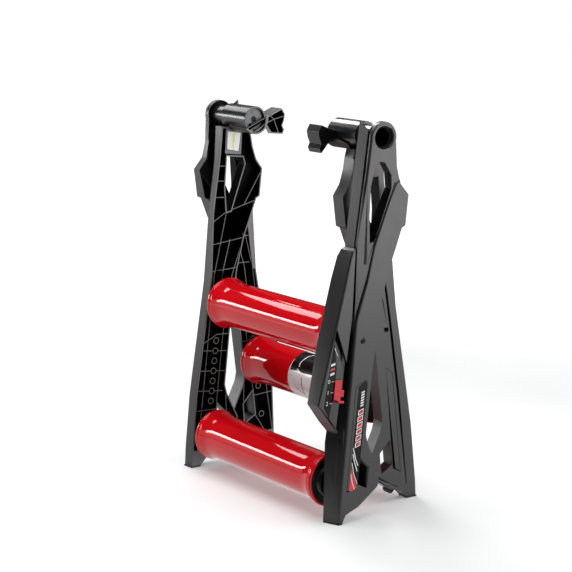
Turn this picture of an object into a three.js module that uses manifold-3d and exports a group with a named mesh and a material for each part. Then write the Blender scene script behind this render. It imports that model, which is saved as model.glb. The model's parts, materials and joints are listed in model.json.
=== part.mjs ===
// Folding bike rollers with flared drums, standing folded as a narrow A.
// Two equal half-frames share one hinge line at the top. The front half-frame carries the two
// drums under the rear wheel, the rear half-frame the one under the front wheel.
// Millimetres, +Z up, X along the drums, the front leg towards -Y. The origin is on the floor.

import * as THREE from "three";
import { mergeVertices } from "three/addons/utils/BufferGeometryUtils.js";
import Module from "manifold-3d";

const wasm = await Module();
wasm.setup();

// Driving dimensions of the whole frame
const hingeHeight = 732;
const legAngle = THREE.MathUtils.degToRad(7);
const legReach = 75;
const assemblyGap = 0.3;
const overrun = 10;

// Across the frame. The wide rail's place is measured from the middle plane, and a narrow rail runs
// inside the wide one of the other half-frame.
const wideRailInside = 244;
const wideRailDepth = 34;
const railStagger = 44;
const narrowRailDepth = 27;
const lobeDepth = 31;

// Moulded walls of the rails
const skinThickness = 3.6;
const wallThickness = 3.2;
const ribThickness = 2;
const ribSetback = 1.2;

// Hinge at the top
const hingeSides = 24;
const hubRadius = 30;
const hubPlateDepth = 13;
const pivotRadius = 20.5;
const pivotWall = 3;
const pivotRecess = 7;
const sleeveRadius = 26.5;
const sleeveReach = 62;
const sleeveSetback = 3;
const capSeatDepth = 10;
const capThickness = 4;
const capSeatWall = 4;
const runningGap = 0.3;

// Rings for the axle ends, one below the other down each rail. The first one's drop below the hinge
// and their spacing are shares of the leg's length.
const firstRingShare = 0.5207;
const ringPitchShare = 0.02915;
const ringForward = 3.5;
const ringRadius = 7.6;
const axleRadius = 5;
const upperRing = 0;
const middleRing = 7;
const lowerRing = 13;
const ringPlaces = [0, 4, 5, 6, 7, 8, 9, 10, 13];
const tiedRingPlaces = [5, 7, 9];

// Drums, each as long as the space between its two rails, less a gap at each end
const flangeRadius = 53;
const drumRadius = 46.5;
const drumWall = 3;
const drumNarrowGap = 27.5;
const drumWideGap = 17.5;

// Worked out from the driving dimensions
const legLength = hingeHeight / Math.cos(legAngle);
const wideRailOutside = wideRailInside + wideRailDepth;
const narrowRailInside = wideRailInside - railStagger;
const narrowRailOutside = narrowRailInside + narrowRailDepth;
const sleeveInnerEnd = narrowRailInside - sleeveReach;
const sleeveOuterEnd = narrowRailOutside - sleeveSetback;
const drumLength = narrowRailInside + wideRailInside - drumNarrowGap - drumWideGap;

// Rail outlines. Each row is a share of the leg's length below the hinge, and a share of its reach
// in front of the hinge line, or behind it where the share is negative.
const frontEdgeShares = [[0.13, 0.5], [0.27, 0.55], [0.46, 0.42], [0.79, 0.57], [0.96, 0.41]];
const outerFrontEdgeShares = [[0.13, 0.42], [0.27, 0.48], [0.46, 0.3], [0.8, 0.25], [0.96, 0.235]];
const rearEdgeShares = [
  [0.976, 0.02], [0.957, -0.36], [0.906, -0.93], [0.895, -0.96], [0.858, -0.91], [0.79, -0.47],
  [0.765, -0.38], [0.6, -0.38], [0.43, -0.44], [0.335, -0.58], [0.283, -0.73],
];
const lobeShares = [[0.227, -0.87], [0.22, -0.98], [0.14, -0.98], [0.113, -0.68], [0.07, -0.51]];
const wideFootShares = { inner: [0.38, 0.2], outer: [0.21, 0.1] };
const narrowFootShares = { inner: [0.5, 0.2], outer: [0.53, 0.2] };
const openingShares = [[0.823, -0.18], [0.852, -0.53], [0.908, -0.56], [0.893, -0.19]];
const wideTeardropShares = [
  [0.06, 0.02], [0.066, 0.12], [0.085, 0.2], [0.125, 0.25], [0.2, 0.19], [0.268, 0.09],
  [0.264, -0.06], [0.126, -0.41], [0.088, -0.28], [0.067, -0.11],
];
const narrowTeardropShares = [
  [0.112, 0.24], [0.2, 0.21], [0.268, 0.09], [0.264, -0.04], [0.13, -0.36], [0.112, -0.28],
];
const recessShares = [[0.622, -0.1], [0.64, 0.1], [0.921, 0.07], [0.904, -0.12]];
const bandEdgeShares = [
  [0.113, -0.53], [0.16, -0.36], [0.27, -0.05], [0.353, 0.06], [0.44, 0.25], [0.535, 0.42],
];

// Ribs between the walls, as lines on the same two shares
const ribShares = [
  [[0.27, 0.09], [0.45, 0.31], [0.84, 0.33], [0.965, 0.36]],
  [[0.25, -0.42], [0.348, -0.11], [0.445, 0.04], [0.51, 0.05]],
  [[0.345, -0.55], [0.448, -0.29], [0.62, -0.16], [0.83, -0.15]],
  [[0.3, 0.52], [0.269, 0.1], [0.232, -0.85]],
  [[0.364, 0.5], [0.339, -0.58]],
  [[0.44, 0.44], [0.426, -0.45]],
  [[0.14, 0.52], [0.14, 0.22]],
  [[0.183, 0.52], [0.182, 0.2]],
  [[0.23, 0.54], [0.227, 0.14]],
  [[0.15, -0.95], [0.262, -0.4], [0.345, -0.55]],
  [[0.648, 0.5], [0.619, 0.04], [0.617, -0.37]],
  [[0.842, 0.56], [0.836, -0.18]],
  [[0.795, -0.44], [0.852, -0.53]],
  [[0.893, -0.19], [0.965, 0.15]],
];

// Small helpers for solids

function toSolid(geometry) {
  const bare = geometry.clone();
  bare.deleteAttribute("normal");
  bare.deleteAttribute("uv");
  const merged = mergeVertices(bare);
  const index = merged.index.array;
  const triangles = [];
  for (let i = 0; i < index.length; i += 3) {
    const [a, b, c] = [index[i], index[i + 1], index[i + 2]];
    if (a !== b && b !== c && c !== a) triangles.push(a, b, c);
  }
  return new wasm.Manifold(new wasm.Mesh({
    numProp: 3,
    vertProperties: new Float32Array(merged.attributes.position.array),
    triVerts: new Uint32Array(triangles),
  }));
}

// The same solid as one surface, so that the next cut joins its flat faces that lie in one plane
function asOneSurface(solid) {
  const { vertProperties, triVerts } = solid.getMesh();
  return new wasm.Manifold(new wasm.Mesh({ numProp: 3, vertProperties, triVerts }));
}

function toMesh(name, solid, material) {
  const { vertProperties, triVerts } = solid.getMesh();
  const geometry = new THREE.BufferGeometry();
  geometry.setAttribute("position", new THREE.BufferAttribute(vertProperties, 3));
  geometry.setIndex(new THREE.BufferAttribute(triVerts, 1));
  geometry.computeVertexNormals();
  const mesh = new THREE.Mesh(geometry, material.clone());
  mesh.name = name;
  return mesh;
}

// A leg is drawn upright, the hinge at its origin: Y runs back and Z up, as in the standing frame.
function legSpot([along, across]) {
  return new THREE.Vector2(-across * legReach, -along * legLength);
}

function insetOutline(points, distance) {
  const turn = Math.sign(THREE.ShapeUtils.area(points));
  return points.map((point, i) => {
    const before = point.clone().sub(points.at(i - 1)).normalize();
    const after = points[(i + 1) % points.length].clone().sub(point).normalize();
    const normalBefore = new THREE.Vector2(-before.y, before.x).multiplyScalar(turn);
    const normalAfter = new THREE.Vector2(-after.y, after.x).multiplyScalar(turn);
    const middle = normalBefore.add(normalAfter).normalize();
    return point.clone().addScaledVector(middle, distance / middle.dot(normalAfter));
  });
}

// A plate drawn in the leg's own plane and as deep as the space between two places along X
function extruded(points, depth) {
  return new THREE.ExtrudeGeometry(new THREE.Shape(points), { depth, bevelEnabled: false });
}

function plateAcross(points, from, to) {
  const lay = new THREE.Matrix4().makeBasis(
    new THREE.Vector3(0, 1, 0),
    new THREE.Vector3(0, 0, 1),
    new THREE.Vector3(1, 0, 0),
  );
  return toSolid(extruded(points, to - from).applyMatrix4(lay).translate(from, 0, 0));
}

// A solid between two outlines with equally many points, one on each side of it
function loftAcross(innerPoints, from, outerPoints, to) {
  const count = innerPoints.length;
  const positions = [];
  for (const point of innerPoints) positions.push(from, point.x, point.y);
  for (const point of outerPoints) positions.push(to, point.x, point.y);
  const triangles = [];
  for (const [a, b, c] of THREE.ShapeUtils.triangulateShape(innerPoints, [])) triangles.push(c, b, a);
  for (const [a, b, c] of THREE.ShapeUtils.triangulateShape(outerPoints, [])) {
    triangles.push(count + a, count + b, count + c);
  }
  for (let i = 0; i < count; i += 1) {
    const next = (i + 1) % count;
    triangles.push(i, next, count + next, i, count + next, count + i);
  }
  const geometry = new THREE.BufferGeometry();
  geometry.setAttribute("position", new THREE.Float32BufferAttribute(positions, 3));
  geometry.setIndex(triangles);
  return toSolid(geometry);
}

// A body turned about an axis along X through a spot, from rows of radius and place
const hingeSpot = new THREE.Vector2(0, 0);

function turnedAcross(rows, segments, spot = hingeSpot) {
  const profile = rows.map(([radius, place]) => new THREE.Vector2(radius, place));
  const geometry = new THREE.LatheGeometry(profile, segments).rotateZ(-Math.PI / 2);
  return toSolid(geometry.translate(0, spot.x, spot.y));
}

function rodAcross(radius, from, to, segments, spot) {
  return turnedAcross([[0, from], [radius, from], [radius, to], [0, to]], segments, spot);
}

function ringAcross(innerRadius, outerRadius, from, to, segments, spot) {
  return turnedAcross([
    [innerRadius, from], [outerRadius, from], [outerRadius, to], [innerRadius, to], [innerRadius, from],
  ], segments, spot);
}

// A body drawn in the X and Z directions and as wide as the whole leg
function plateAlong(points, from, to) {
  return toSolid(extruded(points, to - from).rotateX(Math.PI / 2).translate(0, to, 0));
}

function union(solids) {
  return solids.reduce((whole, solid) => whole.add(solid));
}

function roundSpot(radius, degrees) {
  const angle = THREE.MathUtils.degToRad(degrees);
  return new THREE.Vector2(radius * Math.cos(angle), radius * Math.sin(angle));
}

function arcSpots(radius, { start, end, steps }) {
  const turn = (end - start) / steps;
  return Array.from({ length: steps + 1 }, (unused, i) => roundSpot(radius, start + turn * i));
}

// Materials
const satinBlack = new THREE.MeshStandardMaterial({ color: 0x3a3a3b, roughness: 0.5, metalness: 0 });
const glossBlack = new THREE.MeshStandardMaterial({ color: 0x2b2b2d, roughness: 0.25, metalness: 0.1 });
const deepBlack = new THREE.MeshStandardMaterial({ color: 0x161617, roughness: 0.6, metalness: 0 });
const glossRed = new THREE.MeshStandardMaterial({ color: 0xc8081c, roughness: 0.15, metalness: 0 });
const steel = new THREE.MeshStandardMaterial({ color: 0xa9abae, roughness: 0.3, metalness: 1 });
const rubber = new THREE.MeshStandardMaterial({ color: 0x1b1b1b, roughness: 0.9, metalness: 0 });
const silver = new THREE.MeshStandardMaterial({ color: 0xb8babb, roughness: 0.45, metalness: 0.6 });

// Rails

const footPadThickness = 3;

function floorSpot(across, height) {
  const forward = across * legReach;
  const drop = (hingeHeight - height + forward * Math.sin(legAngle)) / Math.cos(legAngle);
  return new THREE.Vector2(-forward, -drop);
}

function ringSpot(index) {
  return new THREE.Vector2(-ringForward, -(firstRingShare + index * ringPitchShare) * legLength);
}

// A rail's outlines at its inner and its outer face, from the hinge down its front edge, round the
// foot and up behind, and the outlines of the part that is hollow
function railOutlines(top, front, outerFront, feet, back) {
  const foot = ([ahead, behind]) => [floorSpot(ahead, footPadThickness), floorSpot(behind, footPadThickness)];
  const rear = back.map(legSpot);
  return {
    inner: [...front.map(legSpot), ...foot(feet.inner), ...rear, ...top],
    outer: [...outerFront.map(legSpot), ...foot(feet.outer), ...rear, ...top],
    innerHollow: [...front.map(legSpot), ...rear.slice(1), ...top],
    outerHollow: [...outerFront.map(legSpot), ...rear.slice(1), ...top],
  };
}

// A thin upright wall that follows a line of points, as deep as the space from one place to another
function wallAlong(points, thickness, from, to) {
  const normals = points.slice(1).map((end, i) => {
    const ahead = end.clone().sub(points[i]).normalize();
    return new THREE.Vector2(-ahead.y, ahead.x);
  });
  const offsets = points.map((point, i) => {
    const before = normals[Math.max(i - 1, 0)];
    const after = normals[Math.min(i, normals.length - 1)];
    const middle = before.clone().add(after).normalize();
    return middle.multiplyScalar(thickness / 2 / middle.dot(after));
  });
  const left = points.map((point, i) => point.clone().add(offsets[i]));
  const right = points.map((point, i) => point.clone().sub(offsets[i]));
  return plateAcross([...left, ...right.reverse()], from, to);
}

const ringSides = 8;
const boreSides = 10;
const ringCrossShares = [0.5, -0.33];

// Ribs, ring sockets and the short ribs that tie some of the rings to the walls
function railRibs(from, to) {
  const ribs = ribShares.map((line) => wallAlong(line.map(legSpot), ribThickness, from, to));
  for (const place of ringPlaces) {
    const spot = ringSpot(place);
    ribs.push(rodAcross(ringRadius, from, to, ringSides, spot));
    if (!tiedRingPlaces.includes(place)) continue;
    const ends = ringCrossShares.map((across) => new THREE.Vector2(-across * legReach, spot.y));
    ribs.push(wallAlong(ends, ribThickness, from, to));
  }
  return asOneSurface(union(ribs));
}

const ringDepth = 18;

function ringHoles(inside) {
  const bottom = inside + ringDepth + assemblyGap;
  return union(ringPlaces.map((place) => {
    return rodAcross(axleRadius + assemblyGap, inside - overrun, bottom, boreSides, ringSpot(place));
  }));
}

// The hollow behind the skin, less all that stands in it. It ends above the solid foot.
function railHollow({ innerHollow, outerHollow }, openings, inside, depth) {
  const floor = inside + depth - skinThickness;
  const hollow = loftAcross(
    insetOutline(innerHollow, wallThickness),
    inside - assemblyGap,
    insetOutline(outerHollow, wallThickness),
    floor,
  );
  const rims = openings.map((points) => {
    return plateAcross(insetOutline(points, -wallThickness), inside, floor + overrun);
  });
  return hollow.subtract(union([...rims, railRibs(inside + ribSetback, floor + overrun)]));
}

const recessDepth = 1.6;
const screwHeadRadius = 4.4;
const screwHeadHeight = 3;
const screwSeatDepth = 4;
const screwShankRadius = 2.5;
const screwSides = 10;
const screwHoleDepth = 12;
const screwTipGap = 1;
const socketRadius = 2;
const socketDepth = 1.8;
const socketSides = 6;

// What both kinds of rail have in their outer face: the long recess and the upper axle's screw hole
function outerFaceCuts(inside, outside) {
  const recess = plateAcross(recessShares.map(legSpot), outside - recessDepth, outside + overrun);
  const spot = ringSpot(upperRing);
  const seatFloor = outside - screwSeatDepth;
  const seat = rodAcross(screwHeadRadius + assemblyGap, seatFloor, outside + overrun, screwSides, spot);
  const shankRoom = rodAcross(screwShankRadius + assemblyGap, inside, outside, screwSides, spot);
  return recess.add(seat).add(shankRoom);
}

// The wide rail, outermost at its hinge: a round hub plate, two arms round a drop-shaped opening,
// a lobe behind, a raised band that sweeps down to the foot, and a separate strip along its front
const stripDepth = 24;
const stripShares = [[-0.038, 0.46], [0.13, 0.5], [0.27, 0.55], [0.46, 0.42], [0.46, 0.3], [0, 0.3]];
const stripOuterShares = [
  [-0.018, 0.42], [0.13, 0.46], [0.27, 0.51], [0.46, 0.37], [0.46, 0.3], [0, 0.3],
];
const hubTaperShares = [0.055, 0.26];
const armDropShares = [0.05, 0.53];
const armDrop = 6;
const armAreaShares = [[0.54, 0.43], [0.54, 1.1], [-0.08, 1.1], [-0.08, -0.8], [0.09, -0.8]];
const grooveWidth = 2.6;
const slotShares = [
  [-0.06, 1.1], [-0.06, 0.28], [0.02, 0.3], [0.13, 0.32], [0.27, 0.37], [0.42, 0.3], [0.5, 0.38], [0.5, 1.1],
];
const grooveShares = [
  [0.48, 1.1], [0.48, 0.33], [0.62, 0.36], [0.8, 0.37], [0.96, 0.32], [1.05, 0.3], [1.05, 1.1],
];
const hubSeatGap = 1.2;
const hubArc = { start: -8, end: 188, steps: 14 };

function wideOutlines() {
  const hub = arcSpots(hubRadius, hubArc);
  const back = [...rearEdgeShares, ...lobeShares];
  return railOutlines(hub, frontEdgeShares, outerFrontEdgeShares, wideFootShares, back);
}

// The strip along the front, and the same shape moved ahead for the room that it needs
function wideStrip(ahead) {
  const moved = (shares) => shares.map(legSpot).map((point) => point.add(new THREE.Vector2(-ahead, 0)));
  const outside = wideRailInside + stripDepth;
  return loftAcross(moved(stripShares), wideRailInside, moved(stripOuterShares), outside);
}

function wideBody() {
  const { inner, outer } = wideOutlines();
  const body = loftAcross(inner, wideRailInside, outer, wideRailOutside);
  const plateInside = wideRailOutside - hubPlateDepth;
  const top = hubRadius + overrun;
  const taper = plateAlong([
    new THREE.Vector2(wideRailInside - overrun, top),
    new THREE.Vector2(plateInside, top),
    new THREE.Vector2(plateInside, -hubTaperShares[0] * legLength),
    new THREE.Vector2(wideRailInside, -hubTaperShares[1] * legLength),
    new THREE.Vector2(wideRailInside - overrun, -hubTaperShares[1] * legLength),
  ], -legReach - overrun, legReach + overrun);
  const armArea = [...armAreaShares, ...bandEdgeShares].map(legSpot);
  const lowered = plateAcross(armArea, wideRailInside, wideRailOutside + overrun).intersect(plateAlong([
    new THREE.Vector2(wideRailOutside, -armDropShares[0] * legLength),
    new THREE.Vector2(wideRailOutside + overrun, -armDropShares[0] * legLength),
    new THREE.Vector2(wideRailOutside + overrun, -legLength),
    new THREE.Vector2(wideRailOutside - armDrop, -legLength),
    new THREE.Vector2(wideRailOutside - armDrop, -armDropShares[1] * legLength),
  ], -legReach - overrun, legReach + overrun));
  return body.subtract(taper).subtract(lowered);
}

function wideRail() {
  const openings = [wideTeardropShares, openingShares].map((shares) => shares.map(legSpot));
  const hub = rodAcross(hubRadius, wideRailInside, wideRailOutside, hingeSides);
  const hollow = railHollow(wideOutlines(), openings, wideRailInside, wideRailDepth).subtract(hub);
  const through = openings.map((points) => {
    return plateAcross(points, wideRailInside - overrun, wideRailOutside + overrun);
  });
  const seatFloor = wideRailOutside - pivotRecess;
  const boreRadius = pivotRadius + assemblyGap;
  const bore = rodAcross(boreRadius, wideRailInside - overrun, seatFloor + overrun, hingeSides);
  const mouth = rodAcross(pivotRadius + hubSeatGap, seatFloor, wideRailOutside + overrun, hingeSides);
  const grooveStart = wideRailInside + stripDepth;
  const slot = plateAcross(slotShares.map(legSpot), grooveStart, grooveStart + grooveWidth);
  const groove = plateAcross(grooveShares.map(legSpot), grooveStart - grooveWidth, grooveStart);
  const rail = wideBody()
    .subtract(hollow)
    .subtract(union(through))
    .add(wideStrip(0))
    .subtract(slot)
    .subtract(groove)
    .subtract(bore)
    .subtract(mouth)
    .subtract(outerFaceCuts(wideRailInside, wideRailOutside));
  return asOneSurface(rail).subtract(ringHoles(wideRailInside));
}

// The narrow rail runs inside the wide one of the other half-frame. Its top is a saddle for the
// hinge sleeve, with a web for the label, and its lobe is deeper than the rest.
const narrowTopShares = [[0.03, -0.42], [0.03, 0.5]];
const narrowNeckShares = [
  [0.227, -0.87], [0.22, -0.98], [0.14, -0.98], [0.115, -0.75], [0.08, -0.59], [0.052, -0.51],
];
const narrowFrontShares = [[0.13, 0.5], [0.27, 0.55], [0.46, 0.42], [0.8, 0.57], [0.96, 0.52]];
const narrowOuterFrontShares = [[0.13, 0.43], [0.27, 0.48], [0.46, 0.44], [0.8, 0.585], [0.96, 0.56]];
const lobePadShares = [
  [0.052, -0.51], [0.08, -0.59], [0.115, -0.75], [0.14, -0.98], [0.22, -0.98], [0.227, -0.87],
  [0.26, -0.79], [0.24, -0.5], [0.1, -0.36], [0.052, -0.3],
];
const labelWebShares = [[0.03, 0.34], [0.03, -0.2], [0.105, -0.24], [0.105, 0.3]];
const labelWebSetback = 2.5;
const faceLineShares = [
  [[0.33, 0.12], [0.5, 0.2], [0.7, 0.25], [0.96, 0.22]],
  [[0.914, -0.667], [0.937, -0.4], [0.96, -0.093]],
];
const faceLineDepth = 1.5;

function narrowRail() {
  const outlines = railOutlines(
    narrowTopShares.map(legSpot),
    narrowFrontShares,
    narrowOuterFrontShares,
    narrowFootShares,
    [...rearEdgeShares, ...narrowNeckShares],
  );
  const openings = [narrowTeardropShares, openingShares].map((shares) => shares.map(legSpot));
  const lobePad = plateAcross(lobePadShares.map(legSpot), narrowRailInside, narrowRailInside + lobeDepth);
  const body = loftAcross(outlines.inner, narrowRailInside, outlines.outer, narrowRailOutside).add(lobePad);
  const webFace = narrowRailInside + labelWebSetback;
  const web = plateAcross(labelWebShares.map(legSpot), webFace, narrowRailOutside);
  const hollow = railHollow(outlines, openings, narrowRailInside, narrowRailDepth).subtract(web);
  const through = openings.map((points) => {
    return plateAcross(points, narrowRailInside - overrun, narrowRailOutside + overrun);
  });
  const outward = narrowRailOutside + overrun;
  const saddle = rodAcross(sleeveRadius + assemblyGap, narrowRailInside - overrun, outward, hingeSides);
  const lines = faceLineShares.map((line) => {
    return wallAlong(line.map(legSpot), ribThickness, narrowRailOutside - faceLineDepth, outward);
  });
  const rail = body
    .subtract(hollow)
    .subtract(union(through))
    .subtract(saddle)
    .subtract(union(lines))
    .subtract(outerFaceCuts(narrowRailInside, narrowRailOutside));
  return asOneSurface(rail).subtract(ringHoles(narrowRailInside));
}

// Hinge: a fixed sleeve on the narrow rail turns round the pivot tube of the other wide rail
function hingeSleeve() {
  const seat = sleeveRadius - capSeatWall;
  const bore = pivotRadius + runningGap;
  const shoulder = sleeveInnerEnd + capSeatDepth;
  return turnedAcross([
    [seat, sleeveInnerEnd], [sleeveRadius, sleeveInnerEnd], [sleeveRadius, sleeveOuterEnd],
    [bore, sleeveOuterEnd], [bore, shoulder], [seat, shoulder], [seat, sleeveInnerEnd],
  ], hingeSides);
}

const boltHeadRadius = 6;
const boltHeadHeight = 2.4;
const boltShankRadius = 4;
const boltReach = 11;
const tubeEndWall = 8;
const capHoleRadius = 3.5;
const capPadRadius = 4.6;
const capPadHeight = 1;
const capLedge = 1.5;
const capPadSpread = 14.5;
const capHoleTurn = 315;
const capPadTurns = [96, 190];

function sleeveCap() {
  const outer = sleeveRadius - capSeatWall - assemblyGap;
  const inside = sleeveInnerEnd + capSeatDepth - assemblyGap;
  const outside = inside - capThickness;
  const pads = capPadTurns.map((degrees) => {
    const spot = roundSpot(capPadSpread, degrees);
    return rodAcross(capPadRadius, outside - capPadHeight, inside, screwSides, spot);
  });
  const holeSpot = roundSpot(capPadSpread, capHoleTurn);
  const hole = rodAcross(capHoleRadius, outside - overrun, inside + overrun, screwSides, holeSpot);
  const headRoom = boltHeadRadius + assemblyGap;
  const shankRoom = boltShankRadius + assemblyGap;
  const ledge = inside - capLedge;
  const disc = turnedAcross([
    [headRoom, outside], [outer, outside], [outer, inside], [shankRoom, inside],
    [shankRoom, ledge], [headRoom, ledge], [headRoom, outside],
  ], hingeSides);
  return disc.add(union(pads)).subtract(hole);
}

// The bolt that holds the cap, and with it the sleeve, on the end of the pivot tube
function hingeBolt() {
  const headBack = sleeveInnerEnd + capSeatDepth - assemblyGap - capLedge - assemblyGap;
  const head = rodAcross(boltHeadRadius, headBack - boltHeadHeight, headBack, screwSides);
  const shank = rodAcross(boltShankRadius, headBack - assemblyGap, headBack + boltReach, screwSides);
  const socket = rodAcross(boltShankRadius, headBack - overrun, headBack - boltHeadHeight / 2, socketSides);
  return head.subtract(socket).add(shank);
}

function pivotTube() {
  const bore = pivotRadius - pivotWall;
  const start = sleeveInnerEnd + capSeatDepth + runningGap;
  const end = wideRailOutside - pivotRecess - assemblyGap;
  const boltHole = boltShankRadius + assemblyGap;
  const wall = start + tubeEndWall;
  return turnedAcross([
    [boltHole, start], [pivotRadius, start], [pivotRadius, end], [bore, end], [bore, wall], [boltHole, wall],
    [boltHole, start],
  ], hingeSides);
}

// The foot at the hinge: a cradle under the sleeve that gets lower towards the rail, two thin ribs
// over the sleeve's end, and a wavy paddle behind whose floor slants up to its closed side. The
// outlines are shares of the sleeve's radius, back from and up from the hinge line.
const paddleDepth = 38;
const cradleThickness = 4;
const cradleArc = { start: -138, end: 14, steps: 8 };
const armThickness = 3.4;
const paddleWall = 2.6;
const paddleShares = [
  [2.62, -0.98], [2.74, -0.66], [2.53, -0.32], [2.66, 0.12], [2.68, 0.57], [2.35, 1], [0.9, 0.21],
];
const paddleMouthShares = [[0.85, -0.53], [1.24, -1]];
const paddleBackShares = [[0.98, -0.13], [1.7, -0.2]];
const paddleRibShares = [
  [[-0.77, -0.76], [0.92, 0.21]],
  [[-0.12, -1.04], [0.99, -0.25], [1.69, 0.11], [2.6, 0.4]],
  [[1.32, 0.37], [1.69, 0.11], [2.28, -0.97]],
];
const cradleRoomShares = [[-2, 0.24], [-2, -2], [2, -2], [2, 0.24]];
const cradleRailShares = [[-2, -0.5], [-2, -2], [2, -2], [2, -0.5]];

function sleeveSpot([back, up]) {
  return new THREE.Vector2(back * sleeveRadius, up * sleeveRadius);
}

function hingeFoot() {
  const faceEnd = sleeveInnerEnd - assemblyGap;
  const face = faceEnd - armThickness;
  const railSide = narrowRailInside - assemblyGap;
  const cradleRadius = sleeveRadius + assemblyGap;
  const cradleOutline = [
    ...arcSpots(cradleRadius + cradleThickness, cradleArc),
    ...arcSpots(cradleRadius, cradleArc).reverse(),
  ];
  const cradleRoom = loftAcross(
    cradleRoomShares.map(sleeveSpot),
    face,
    cradleRailShares.map(sleeveSpot),
    railSide,
  );
  const cradle = plateAcross(cradleOutline, face, railSide).intersect(cradleRoom);
  const mouth = [...paddleShares, ...paddleMouthShares].map(sleeveSpot);
  const back = [...paddleShares, ...paddleBackShares].map(sleeveSpot);
  const paddleEnd = face + paddleDepth;
  const paddle = loftAcross(mouth, face, back, paddleEnd);
  const hollow = loftAcross(
    insetOutline(mouth, paddleWall),
    face - overrun,
    insetOutline(back, paddleWall),
    paddleEnd - paddleWall,
  );
  const ribs = paddleRibShares.map((shares) => {
    return wallAlong(shares.map(sleeveSpot), ribThickness, face + ribSetback, paddleEnd);
  });
  const [upperArm, lowerArm] = ribs;
  const overEnd = rodAcross(cradleRadius + cradleThickness, face, faceEnd, hingeSides);
  const sleeveRoom = rodAcross(cradleRadius, faceEnd, narrowRailInside + overrun, hingeSides);
  return paddle
    .subtract(hollow)
    .add(union(ribs).intersect(paddle))
    .add(union([upperArm, lowerArm]).intersect(overEnd))
    .add(cradle)
    .subtract(sleeveRoom);
}

// Rollers. Each is drawn about its own middle, the end at the wide rail towards +X.
const rollerMiddle = drumLength / 2 - (narrowRailInside - drumNarrowGap);
const drumSides = 24;
const flareLength = 80;
const flareShares = [[0, 0.54], [0.05, 1], [0.17, 0.82], [0.4, 0.28], [1, 0]];
const capRadius = 47.7;
const capSeatLength = 16;
const capRecess = 2.5;
const capHubLength = 11;
const capWeb = 5;
const bearingRadius = 13;
const bearingWidth = 8;
const bearingRecess = 1;
const bearingSides = 14;
const capHubWall = 4;
const pulleyRadius = 34;
const pulleyWidth = 11;
const pulleyWall = 6;
const pulleyGroove = 3.6;

// Half of the drum's profile from one end, and its mirror image
function drum() {
  const half = drumLength / 2;
  const flare = flareShares.map(([along, out]) => {
    return [drumRadius + out * (flangeRadius - drumRadius), half - along * flareLength];
  });
  const seat = capRadius + assemblyGap;
  const bore = drumRadius - drumWall;
  const inside = [[seat, half], [seat, half - capSeatLength], [bore, half - capSeatLength]];
  const flip = ([radius, place]) => [radius, -place];
  return turnedAcross([
    ...flare.map(flip),
    ...flare.toReversed(),
    ...inside,
    ...inside.map(flip).toReversed(),
    flip(flare[0]),
  ], drumSides);
}

// The end cap with its bearing seat. The one at the wide rail also carries the belt pulley.
function drumCap(hasPulley) {
  const face = drumLength / 2 - capRecess;
  const webBack = face - capWeb;
  const back = face - capHubLength;
  const seat = bearingRadius + assemblyGap;
  const hubOut = seat + capHubWall;
  const pulleyEnd = face + pulleyWidth;
  const pulleyMiddle = (face + pulleyEnd) / 2;
  const pulley = [
    [pulleyRadius, face], [pulleyRadius - pulleyGroove, pulleyMiddle], [pulleyRadius, pulleyEnd],
    [pulleyRadius - pulleyWall, pulleyEnd], [pulleyRadius - pulleyWall, face],
  ];
  return turnedAcross([
    [seat, back], [hubOut, back], [hubOut, webBack], [capRadius, webBack], [capRadius, face],
    ...(hasPulley ? pulley : []),
    [seat, face], [seat, back],
  ], drumSides);
}

function bearing() {
  const end = drumLength / 2 - capRecess - bearingRecess;
  return ringAcross(axleRadius + assemblyGap, bearingRadius, end - bearingWidth, end, bearingSides);
}

function axle(hasScrewHoles) {
  const from = -narrowRailInside - ringDepth - rollerMiddle;
  const to = wideRailInside + ringDepth - rollerMiddle;
  const rod = rodAcross(axleRadius, from, to, boreSides);
  if (!hasScrewHoles) return rod;
  const hole = screwShankRadius + assemblyGap;
  return rod
    .subtract(rodAcross(hole, from - overrun, from + screwHoleDepth, screwSides))
    .subtract(rodAcross(hole, to - screwHoleDepth, to + overrun, screwSides));
}

// A screw driven into the axle's end from the rail's outer face, its head sunk in the seat
function axleScrew(inside, outside) {
  const spot = ringSpot(upperRing);
  const headBack = outside - screwSeatDepth + assemblyGap;
  const headFace = headBack + screwHeadHeight;
  const tip = inside + ringDepth - screwHoleDepth + screwTipGap;
  const head = rodAcross(screwHeadRadius, headBack, headFace, screwSides, spot);
  const shank = rodAcross(screwShankRadius, tip, headFace - socketDepth, screwSides, spot);
  const socket = rodAcross(socketRadius, headFace - socketDepth, headFace + overrun, socketSides, spot);
  return head.subtract(socket).add(shank.subtract(socket));
}

// Resistance unit on the front frame's wide rail: a housing whose outer face has a sunk window with
// a scale, a slider that is pushed along it, and a magnet carrier that the slider takes with it
const unitInnerShares = [
  [0.282, 0.54], [0.289, 0.667], [0.306, 0.76], [0.369, 0.893],
  [0.53, 1.133], [0.687, 1.253], [0.762, 0.547], [0.46, 0.4],
];
const unitOuterShares = [
  [0.282, 0.54], [0.289, 0.62], [0.306, 0.66], [0.362, 0.733],
  [0.522, 0.973], [0.686, 1.24], [0.76, 0.54], [0.46, 0.44],
];
const unitWindowShares = [
  [0.489, 0.88], [0.508, 0.907], [0.689, 1.053], [0.729, 0.8],
  [0.752, 0.533], [0.641, 0.373], [0.597, 0.373],
];
const unitSlotShares = [
  [0.494, 0.88], [0.51, 0.88], [0.546, 0.667], [0.598, 0.493], [0.748, 0.533], [0.748, 0.2], [0.597, 0.2],
];
const unitHollowShares = [[0.434, 0.267], [0.434, 0.8], [0.734, 0.8], [0.743, 0.267]];
const headSlotShares = [[0.434, 0.507], [0.434, 0.8], [0.549, 0.8], [0.549, 0.507]];
const unitPocketShares = [[0.542, 0.853], [0.542, 0.947], [0.678, 1.173], [0.71, 0.853]];
const unitWall = 4.7;
const unitFloorDepth = 6.4;
const unitFloorThickness = 3;
const pocketWall = 5.3;

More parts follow.
